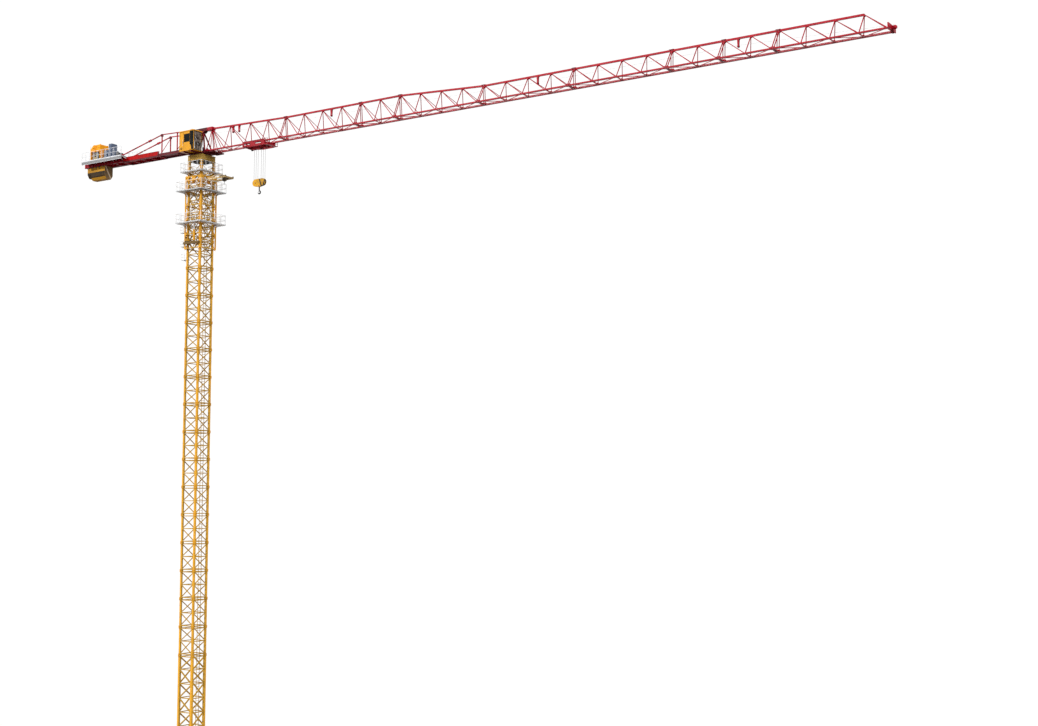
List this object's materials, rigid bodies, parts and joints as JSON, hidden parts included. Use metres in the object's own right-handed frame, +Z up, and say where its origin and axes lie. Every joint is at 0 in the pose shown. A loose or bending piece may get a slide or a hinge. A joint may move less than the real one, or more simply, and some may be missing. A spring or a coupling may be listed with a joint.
{
  "type": "tower crane, 1:10 scale model",
  "caption": "Flat-top tower crane with slewing lattice jib, travelling trolley, hook block on ropes, climbing cage and counter-jib, at 1:10.",
  "frame": {"origin": "mast axis on the underside of the foundation frame", "axes": "+Z up along the mast, +X along the jib at rest, +Y away from the cab's side"},
  "size_m": [9.7073, 0.415, 6.708],
  "materials": {
    "mast_yellow": "orange-yellow paint, weathered",
    "galvanised": "galvanised walkways and railings",
    "jib_red": "crimson paint, weathered",
    "deck_maroon": "dark red paint",
    "cab_yellow": "yellow paint",
    "cab_glass": "dark tinted glass",
    "machine_grey": "blue-grey paint",
    "bearing_steel": "dark greased steel",
    "base_grey": "grey primed steel",
    "wire_rope": "wire rope",
    "block_yellow": "yellow paint with black stripes",
    "hook_steel": "forged steel, dark",
    "ballast_paint": "painted ballast slabs with black stripes",
    "frame_cream": "cream paint",
    "guide_black": "black rollers"
  },
  "bodies": {
    "mast": {"base_frame": "base_grey", "base_section": "mast_yellow", "mast_sections_1": "mast_yellow", "mast_sections_2": "mast_yellow", "mast_sections_3": "mast_yellow", "mast_sections_4": "mast_yellow", "mast_sections_5": "mast_yellow", "slewing_support": "mast_yellow", "slew_ring": "bearing_steel", "climbing_cage": "mast_yellow", "upper_walkway": "galvanised", "middle_walkway": "galvanised", "lower_walkway": "galvanised", "ladder_landings": "galvanised", "jacking_gear": "mast_yellow", "introduction_beam": "mast_yellow"},
    "section_hoist": {"section_hoist": "bearing_steel"},
    "upperworks": {"turntable": "deck_maroon", "service_platform": "deck_maroon", "tower_head": "deck_maroon", "cab_shell": "cab_yellow", "cab_windows": "cab_glass", "jib_section_1": "jib_red", "jib_section_2": "jib_red", "jib_section_3": "jib_red", "jib_section_4": "jib_red", "jib_section_5": "jib_red", "jib_section_6": "jib_red", "jib_section_7": "jib_red", "jib_section_8": "jib_red", "jib_section_9": "jib_red", "jib_tip": "jib_red", "rope_guides": "guide_black", "counter_jib_inner": "deck_maroon", "counter_jib_outer": "jib_red", "counter_jib_walkways": "galvanised", "tie_bars": "jib_red", "tie_posts": "jib_red", "winch_frame": "frame_cream", "winch_drum": "machine_grey", "winch_housing": "cab_yellow", "switch_cabinet": "machine_grey", "hoist_motor": "machine_grey", "counterweights": "ballast_paint"},
    "trolley": {"trolley_frame": "deck_maroon", "trolley_wheels": "bearing_steel", "trolley_sheaves": "bearing_steel", "trolley_basket": "galvanised", "hoist_ropes": "wire_rope"},
    "hook_block": {"block_frame": "block_yellow", "block_sheaves": "bearing_steel"},
    "hook": {"hook": "hook_steel"}
  },
  "joints": [
    {"name": "slewing", "type": "hinge", "parent": "mast", "child": "upperworks", "pos_m": [0, 0, 6.356], "axis": [0, 0, 1], "continuous": true},
    {"name": "trolley_travel", "type": "slide", "parent": "upperworks", "child": "trolley", "axis": [1, 0, 0], "range_m": [-0.345, 6.67]},
    {"name": "hoist", "type": "slide", "parent": "trolley", "child": "hook_block", "axis": [0, 0, 1], "range_m": [-5.77, 0.25], "deforming": ["hoist_ropes"]},
    {"name": "hook_swivel", "type": "hinge", "parent": "hook_block", "child": "hook", "pos_m": [0.867, 0, 5.926], "axis": [0, 0, 1], "continuous": true},
    {"name": "section_hoist_travel", "type": "slide", "parent": "mast", "child": "section_hoist", "axis": [1, 0, 0], "range_m": [-0.13, 0.035]}
  ]
}
